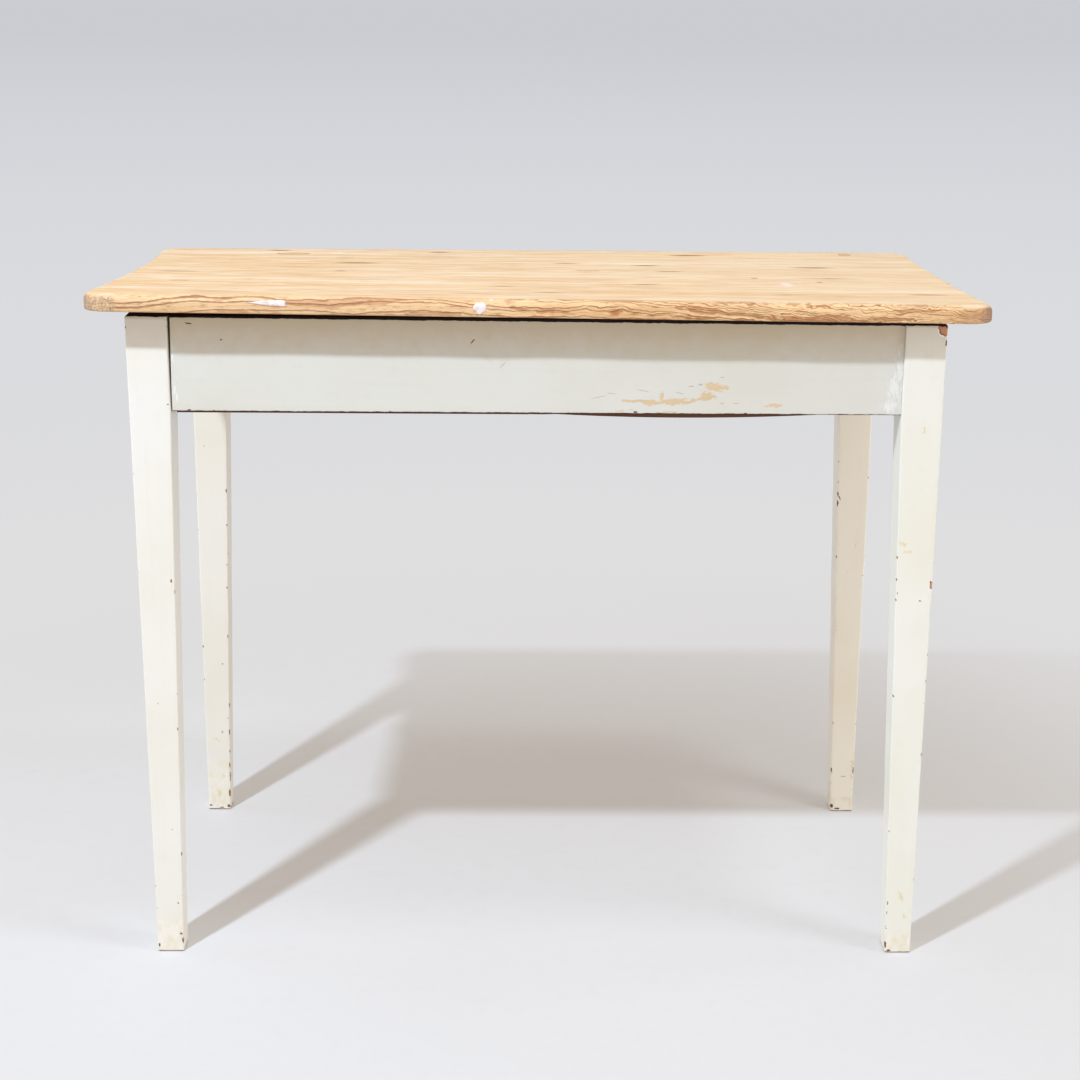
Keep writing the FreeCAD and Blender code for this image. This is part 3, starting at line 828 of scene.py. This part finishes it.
def leg(name, material, seed):
    low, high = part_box(name)
    size, foot_size, bevel = leg_widths(name)
    side_x = 1 if low.x > 0 else -1
    side_y = 1 if low.y > 0 else -1
    outer_x = high.x if side_x > 0 else low.x
    outer_y = high.y if side_y > 0 else low.y
    shoulder = high.z + 0.6 * lift(outer_x, outer_y) - bevel
    low_steps = [0, foot_ease / 3, foot_ease, 3 * MM]
    bevel_steps = shoulder + bevel * np.array([0, 0.3, 0.6, 0.9, 1])
    heights = np.concatenate([low_steps, np.arange(6 * MM, shoulder, leg_step), bevel_steps])
    width = size - (size - foot_size) * np.clip(1 - heights / apron_low.z, 0, 1)
    eased = foot_ease * np.clip(1 - heights / foot_ease, 0, 1) ** 2
    start = np.clip(heights - shoulder, 0, bevel) + eased
    stop = width - eased
    wander = arris_wander * ease(0, 20 * MM, heights)
    rounds = [arris_round + wander * ripple(heights, 60 * MM, seed + k) for k in range(4)]
    loop, arris = rounded_loop(start, stop, start, stop, rounds)
    uneven = leg_uneven * ripple(heights, 130 * MM, seed + 9)[:, None]
    x = outer_x - side_x * (loop[:, :, 0] + uneven) + lean(name, heights[:, None])
    y = outer_y - side_y * (loop[:, :, 1] - uneven)
    z = np.broadcast_to(heights[:, None], x.shape)
    bare = bare_above(x, z, 0.2 * ripple(x + y, 23 * MM, seed + 11) - 1)
    bare = np.maximum(bare, 0.2 + (foot_ease - z) / MM)
    return painted(name, x, y, z, arris, bare, material)


def apron(name, material, seed):
    """An apron, a little open at its left joint and sagging at its middle."""
    low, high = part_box(name)
    side = 1 if low.y > 0 else -1
    outer = high.y if side > 0 else low.y
    near = np.array([0, 0.5, 1.5, 3]) * MM
    between = np.arange(-apron_reach + 8 * MM, apron_reach - 6 * MM, apron_step)
    stations = np.concatenate([-apron_reach + near, between, apron_reach - near[::-1]])
    sizes = (1.1 * MM, MM, MM, apron_bevel)
    rounds = [size * (1 + 0.25 * ripple(stations, 70 * MM, seed + k)) for k, size in enumerate(sizes)]
    dipped = low.z - apron_dip * np.exp(-((stations / apron_dip_reach) ** 2))
    loop, arris = rounded_loop(0 * stations, high.y - low.y, dipped, high.z, rounds, (4, 16, 4, 24))
    uneven = apron_uneven * ripple(stations, 210 * MM, seed + 9)[:, None]
    y = outer - side * (loop[:, :, 0] + uneven)
    z = loop[:, :, 1]
    leftward = np.clip(-stations[:, None] / apron_reach, 0, 1)
    open_share = (0.3 + 0.7 * (z - low.z) / (high.z - low.z)) * leftward ** 40
    x = stations[:, None] + left_joint_gap * open_share - left_joint_reach * leftward ** 12
    bare = bare_above(x, z, 0.2 * ripple(x, 60 * MM, seed + 11))
    rubbed = 1 + 0.12 * ripple(x, 47 * MM, seed + 12)
    bare = np.maximum(bare, rubbed - (z - low.z) / MM)
    return painted(name, x, y, z, arris, bare, material)


# Knobs

def arc_through(first, middle, last, count):
    """Points on the hollow round that passes through three points."""
    a, b, c = np.array([first, middle, last])
    centre = np.linalg.solve(2 * np.array([b - a, c - a]), [b @ b - a @ a, c @ c - a @ a])
    start, stop = (math.atan2(*(point - centre)[::-1]) for point in (a, c))
    angles = np.linspace(start, stop, count)
    return centre + np.linalg.norm(a - centre) * np.stack([np.cos(angles), np.sin(angles)], axis=1)


def knob_profile(length, head_radius):
    """Places along a knob and its radius there: band, hollow neck, thin rim and domed crown."""
    crown_rise = length - knob_head_at
    crown_radius = (head_radius ** 2 + crown_rise ** 2) / (2 * crown_rise)
    band = [
        (0, knob_base - knob_ease),
        (knob_ease / 3, knob_base - knob_ease / 3),
        (knob_ease, knob_base),
        (knob_band - knob_ease, knob_base),
        (knob_band, knob_base - 0.6 * knob_ease),
    ]
    neck_end = (knob_head_at - knob_rim, head_radius - knob_ease)
    neck = arc_through(band[-1], (knob_neck_at, knob_neck), neck_end, 16)[1:]
    rim = [(knob_head_at - knob_rim + knob_ease, head_radius), (knob_head_at - knob_ease, head_radius)]
    angles = np.linspace(math.asin((head_radius - 0.3 * knob_ease) / crown_radius), 0.02, 16)
    crown_along = length - crown_radius * (1 - np.cos(angles))
    crown = np.stack([crown_along, crown_radius * np.sin(angles)], axis=1)
    return np.concatenate([band, neck, rim, crown])


def knob(name, body, material, seed):
    """A turned knob, very slightly out of round."""
    low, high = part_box(name)
    out = 1 if low.x > 0 else -1
    base_x = low.x if out > 0 else high.x
    middle_z = (low.z + high.z) / 2
    head_radius = (high.z - low.z) / 2
    profile = knob_profile(high.x - low.x, head_radius)
    around = np.linspace(0, 2 * math.pi, 56, endpoint=False)[None, :]
    along = profile[:, :1] + 0 * around
    radius = profile[:, 1:] * (1 + knob_out_of_round * np.cos(2 * around + seed))
    radius = radius * (head_radius / radius.max())
    x = base_x + out * along
    rings = np.stack([x, radius * np.cos(around), middle_z + radius * np.sin(around)], axis=2)
    near_rim = np.exp(-np.abs(along - knob_head_at + knob_rim / 2) / (1.5 * MM))
    stored = {"arris": near_rim, "bare": 0 * near_rim - 9}
    return piece(f"{name}_turned", rings, material, body, name, stored)


# Carried-over solids

def dress(material, *names, bevel=0.5 * MM):
    """Solids that keep their shape, with a finish and eased arrises."""
    for name in names:
        solid = nodes[name]
        solid.data.materials.clear()
        solid.data.materials.append(material)
        weld = solid.modifiers.new("weld", "WELD")
        weld.merge_threshold = 0.01 * MM
        if bevel:
            eased = solid.modifiers.new("eased", "BEVEL")
            eased.width = bevel
            eased.segments = 2
            eased.limit_method = "ANGLE"
            eased.angle_limit = math.radians(35)
            eased.use_clamp_overlap = True


# Floor, light and camera

HORIZON = (203, 204, 209)
FLOOR_TONES = (
    (0, HORIZON),
    (0.045, (210, 212, 217)),
    (0.1, (215, 217, 221)),
    (0.17, (218, 219, 222)),
    (0.6, (224, 223, 224)),
)


def floor_look():
    """A pale floor that keeps the shadow and passes into the background further off. Even near the table a
    share of it glows, which lightens the shadow as painted light.
    """
    look = Look("floor")
    speckle = look.noise(40, 4, seed=2)
    cloud = look.noise(0.8, 3, seed=5)
    look.colour = (229, 230, 233)
    look.lay((222, 222, 224), cloud, 0.35, 0.7)
    look.lay((212, 211, 210), speckle, 0.45, 0.8, 0.15)
    look.finish(look.map(speckle, 0.3, 0.7, 0.7, 0.8), speckle, 0.05 * MM)
    away = look.vector("LENGTH", {0: look.place}, "Value")
    share = look.times(look.map(away, floor_clear, floor_far, floor_glow_share, 1), look.seen())
    tone = look.ramp(look.math("DIVIDE", 1, away), *FLOOR_TONES)
    glow = look.node("Emission", {"Color": tone})
    mixed = look.node("MixShader", {0: share, 1: look.shader.outputs[0], 2: glow.outputs[0]})
    look.feed(look.tree.nodes["Material Output"].inputs["Surface"], mixed.outputs[0])
    return look.material


def make_floor():
    mesh = bpy.data.meshes.new("floor")
    work = bmesh.new()
    bmesh.ops.create_circle(work, cap_ends=True, cap_tris=True, segments=96, radius=floor_radius)
    work.to_mesh(mesh)
    work.free()
    mesh.materials.append(floor_look())
    placed("floor", mesh)


def make_sky():
    """A warm even light, in place of which the camera sees a plain background."""
    world = bpy.data.worlds.new("studio")
    bpy.context.scene.world = world
    sky = Nodes(world)
    light = sky.tree.nodes["Background"]
    light.inputs["Color"].default_value = sky_colour
    light.inputs["Strength"].default_value = sky_strength
    plain = sky.node("Background", {"Color": HORIZON})
    mixed = sky.node("MixShader", {0: sky.seen(), 1: light.outputs[0], 2: plain.outputs[0]})
    sky.feed(sky.tree.nodes["World Output"].inputs[0], mixed.outputs[0])


def make_lamp(name, place, size, power, colour):
    lamp = bpy.data.lights.new(name, "AREA")
    lamp.shape = "DISK"
    lamp.size = size
    lamp.energy = power
    lamp.color = colour
    made = placed(name, lamp)
    made.location = place
    made.rotation_euler = (lamps_aim - made.location).to_track_quat("-Z", "Y").to_euler()


def make_camera():
    data = bpy.data.cameras.new("camera")
    data.lens = camera_lens
    data.sensor_width = 36
    camera = placed("camera", data)
    turn = Matrix.Rotation(-camera_yaw, 4, "Z")
    tilt = Matrix.Rotation(math.pi / 2 - camera_pitch, 4, "X")
    roll = Matrix.Rotation(camera_roll, 4, "Z")
    camera.matrix_world = Matrix.Translation(camera_place) @ turn @ tilt @ roll
    bpy.context.scene.camera = camera


# Marks on the paint, in millimetres: place along and up, width, height and any tilt in degrees.
# On a leg the first number is a share of its width instead, from its outer arris to its inner one.

leg_rows = {
    "leg_front_left": {
        "chips": [
            (0.9, 441, 1.6, 4.5), (0.83, 60, 1.8, 2.2), (0.92, 22, 2.6, 3), (0.06, 8, 2, 5),
            (0.98, 14, 1.6, 8), (1, 120, 1, 5), (0.98, 270, 1, 4), (0.94, 636, 2.4, 1.4),
        ],
        "dents": [(1, 428, 3, 7), (0.4, 300, 2, 3), (0.7, 150, 3, 2)],
    },
    "leg_front_right": {
        "chips": [
            (1, 471, 1.6, 4), (1, 446, 1.6, 3.4), (1, 423, 1.4, 2.6), (0.32, 422, 3.4, 1.2),
            (0.05, 443, 1.4, 5), (0, 360, 1.6, 3), (0, 329, 1.6, 3.4), (0, 91, 1.6, 4),
            (0.95, 62, 1.4, 5), (0.97, 50, 1.2, 4), (1, 10, 4, 9), (0.86, 3, 5, 2.4),
            (0.02, 707, 2.4, 7), (0, 724, 5, 3),
        ],
        "peach": [(0.09, 720.5, 11, 11), (0.04, 717.5, 6, 7), (0.18, 723.5, 6, 4), (0.02, 440, 4.6, 9)],
        "scuffs": [
            (0.86, 487, 9, 9), (0.74, 478, 10, 4), (0.44, 613, 4, 6), (0.45, 70, 5, 14, 25),
            (0.3, 46, 5, 12, 25),
        ],
    },
    "leg_back_left": {
        "chips": [
            (0.97, 446, 1.6, 6), (0.98, 400, 1.2, 2), (0.97, 346, 1.2, 2), (0.96, 315, 1.4, 3.4),
            (0.97, 247, 1.5, 5), (0.02, 233, 2.4, 3), (0.75, 209, 1.8, 2.4), (1, 150, 1.2, 8),
            (0.99, 112, 1.2, 9), (0.99, 64, 1.4, 9), (1, 47, 1.6, 16), (0.98, 24, 2.4, 12),
            (1, 84, 1, 5), (0.94, 132, 1.4, 1.4), (0.1, 6, 4, 2), (0.6, 3, 6, 1.8), (0.93, 5, 4, 5),
        ],
        "scuffs": [(0.5, 100, 3, 12, 40), (0.5, 24, 9, 12), (0.7, 48, 6, 9)],
        "dents": [(0.7, 112, 4, 5), (0.3, 505, 3, 2)],
    },
    "leg_back_right": {
        "chips": [
            (0.99, 433, 1.8, 9), (0.93, 441, 1.5, 8, 24), (1, 446, 1.6, 6, -16), (0.99, 361, 2, 3.6),
            (0, 468, 2, 3), (0, 127, 2, 3), (0.96, 8, 5, 6), (0.7, 4, 7, 2.4), (1, 60, 2, 8),
            (0.02, 60, 2, 10),
        ],
        "peach": [(0.99, 446, 2.4, 5)],
        "scuffs": [(0.58, 340, 3, 4), (0.34, 378, 4, 8), (0.06, 60, 5, 60)],
        "dents": [(0.45, 51, 9, 2)],
    },
}
apron_rows = {
    "worn": [
        (100, 642, 26, 3), (120, 640.5, 22, 6), (145, 641.5, 36, 7), (132, 648, 4, 10),
        (164, 642.5, 12, 4, 20), (189, 657.5, 22, 9, -10), (200, 657, 9, 4), (181, 647, 16, 9, 8),
        (172, 644.5, 14, 3, 14), (176, 651, 8, 2, 40), (254, 638, 16, 5), (244, 637.5, 8, 1.6),
        (88, 631.5, 10, 1.6), (100, 633, 6, 1.6), (138, 630, 22, 1.6), (196, 640, 6, 1.4),
    ],
    "chips": [
        (104, 630, 5, 2), (-70, 705, 7, 1.4, 45), (-370, 722.5, 8, 1.4, -4), (-336, 705, 3, 1.6),
        (-346, 628, 5, 3), (-372, 629.5, 4, 1.4), (222, 629, 4, 1.6), (118, 727, 12, 3), (-86, 728, 8, 2.4),
    ],
    "dents": [
        (-38, 680, 10, 1.2, 45), (112, 653, 18, 1, -10), (151, 651, 13, 1, -13), (64, 646, 22, 1, 12),
        (163, 658, 8, 1.6), (173, 660, 6, 2.4), (212, 640, 9, 1), (78, 650, 14, 0.9, -6), (196, 668, 5, 1.4),
    ],
    "fresh": [
        (-388, 690, 7, 40), (-387, 650, 8, 40), (378, 638, 34, 26), (381, 655, 26, 44), (385, 680, 16, 60),
    ],
}


def spot(x, y, z, wide, tall, tilt=0):
    """An oval mark in a face that looks along Y."""
    return (x * MM, y * MM, z * MM), (wide * MM / 2, 5 * MM, tall * MM / 2), tilt


def leg_spot(name, share, z, *rest):
    """A mark on the forward face of a leg."""
    low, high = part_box(name)
    side = 1 if low.x > 0 else -1
    size, foot_size, _ = leg_widths(name)
    width = foot_size + (size - foot_size) * min(z * MM / apron_low.z, 1)
    outer = side * max(abs(low.x), abs(high.x))
    face = low.y if low.y < 0 else high.y - width
    return spot((outer - side * width * share + lean(name, z * MM)) / MM, face / MM, z, *rest)


# Putting it together

cream = (243, 240, 232)
apron_cream = (223, 222, 215)
board_plans = [
    ((-208 * MM, 728 * MM), 3.1 * MM, (233, 203, 161)),
    ((-90 * MM, 690 * MM), 3.6 * MM, (236, 207, 167)),
    ((10 * MM, 800 * MM), 3.3 * MM, (238, 208, 167)),
    ((90 * MM, 700 * MM), 3.9 * MM, (239, 209, 166)),
    ((190 * MM, 760 * MM), 3.4 * MM, (240, 211, 170)),
]
for number, plan in enumerate(board_plans, 1):
    top_board(number, top_look(number, *plan))

dried_white = drop_look()
paint_drop("paint_smear", -284 * MM, 12 * MM, 39 * MM, 9.5 * MM, 0.9, dried_white, 5)
paint_drop("paint_blob", -62 * MM, 14 * MM, 15 * MM, 13 * MM, 0.1, dried_white, 6)
paint_drop("paint_fleck", -50 * MM, 4.5 * MM, 5 * MM, 3.5 * MM, 0.2, dried_white, 7)

for seed, (name, (_, _, tone, stain)) in enumerate(leg_plans.items()):
    marks = {kind: [leg_spot(name, *row) for row in rows] for kind, rows in leg_rows[name].items()}
    paint = paint_look(f"{name}_paint", tone, "z", 10 + seed, 0.5, True, None, 0.25, stain, **marks)
    leg(name, paint, 100 + 20 * seed)

face = apron_low.y / MM
marks = {kind: [spot(x, face, *rest) for x, *rest in rows] for kind, rows in apron_rows.items()}
# The aprons take the strongest painted shade up under the top, the legs less
front_paint = paint_look("front_apron_paint", apron_cream, "x", 20, 0.35, True, dirt_and_shade=0.75, **marks)
back_paint = paint_look("back_apron_paint", apron_cream, "x", 21, 0.5, True, dirt_and_shade=0.75)
apron("front_apron", front_paint, 300)
apron("back_apron", back_paint, 330)

inner_tones = ((196, 156, 110), (150, 102, 62))
drawer_tones = ((214, 178, 130), (176, 128, 82))
runner_pine = plank_look("runner_pine", "x", (0, 600 * MM), (112, 68, 42), (78, 44, 26), 31)
inner_pine = plank_look("inner_pine", "x", (0, 690 * MM), *inner_tones, 32)
cross_pine = plank_look("cross_pine", "y", (10 * MM, 690 * MM), *inner_tones, 33)
drawer_pine = plank_look("drawer_pine", "x", (0, 640 * MM), *drawer_tones, 34, 0.18)
drawer_cross = plank_look("drawer_cross_pine", "y", (0, 640 * MM), *drawer_tones, 35, 0.18)
steel = steel_look()

for end in ("front_left", "front_right", "back_left", "back_right"):
    dress(runner_pine, f"runner_{end}")
    dress(inner_pine, f"guide_{end}")
dress(inner_pine, "kicker_front", "kicker_back")
dress(cross_pine, "centre_stop_rail", "centre_bearer")
dress(steel, "runner_screws", "kicker_screws", "top_screws", "guide_nails", bevel=0)
for seed, (side, out) in enumerate((("left", -1), ("right", 1))):
    drawer = f"{side}_drawer"
    rail_paint = paint_look(f"{side}_rail_paint", apron_cream, "y", 40 + seed, 0.5, outward=(out, 0, 0))
    drawer_paint = paint_look(f"{drawer}_paint", cream, "y", 50 + seed, 0.6, outward=(out, 0, 0))
    knob_paint = paint_look(f"{side}_knob_paint", cream, "x", 60 + seed, 0.8, True)
    dress(rail_paint, f"{side}_lower_rail", f"{side}_upper_rail")
    dress(drawer_paint, f"{drawer}_front")
    knob(f"{drawer}_knob", drawer, knob_paint, seed)
    dress(drawer_pine, f"{drawer}_side_left", f"{drawer}_side_right", bevel=0.3 * MM)
    dress(drawer_cross, f"{drawer}_back", f"{drawer}_bottom", bevel=0.3 * MM)
    dress(steel, f"{drawer}_knob_screw", f"{drawer}_nails", bevel=0)

make_floor()
make_sky()
for name, settings in lamps.items():
    make_lamp(name, *settings)
make_camera()
bpy.context.scene.view_settings.view_transform = "Standard"
